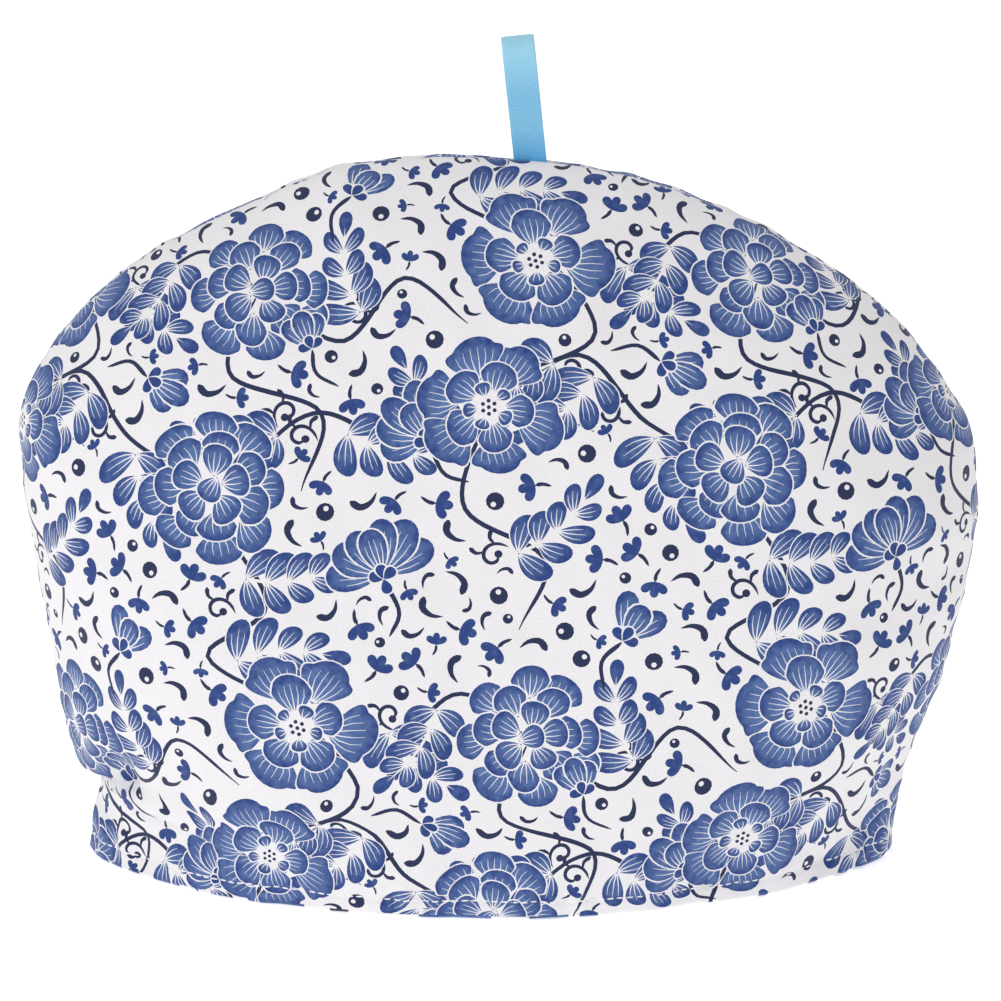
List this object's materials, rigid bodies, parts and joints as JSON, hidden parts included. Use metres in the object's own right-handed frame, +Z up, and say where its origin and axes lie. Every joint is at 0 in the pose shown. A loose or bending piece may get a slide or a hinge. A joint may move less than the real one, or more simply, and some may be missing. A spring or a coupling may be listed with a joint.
{
  "type": "tea cosy",
  "caption": "Domed padded cotton tea cosy with a blue and white flower print, open at its oval hem, with a ribbon hanging loop in the top seam.",
  "frame": {"origin": "on the surface it stands on, under the middle of the cosy", "axes": "+X along the seam's width, to the right seen from the front; +Y towards the back panel; +Z up"},
  "size_m": [0.286, 0.1224, 0.2499],
  "materials": {
    "printed_cotton": "white cotton with a blue printed flower scroll, matt",
    "blue_grosgrain": "ribbed sky blue ribbon, soft sheen"
  },
  "bodies": {
    "root": {"front_panel": "printed_cotton", "back_panel": "printed_cotton", "ribbon_loop": "blue_grosgrain"}
  },
  "joints": []
}
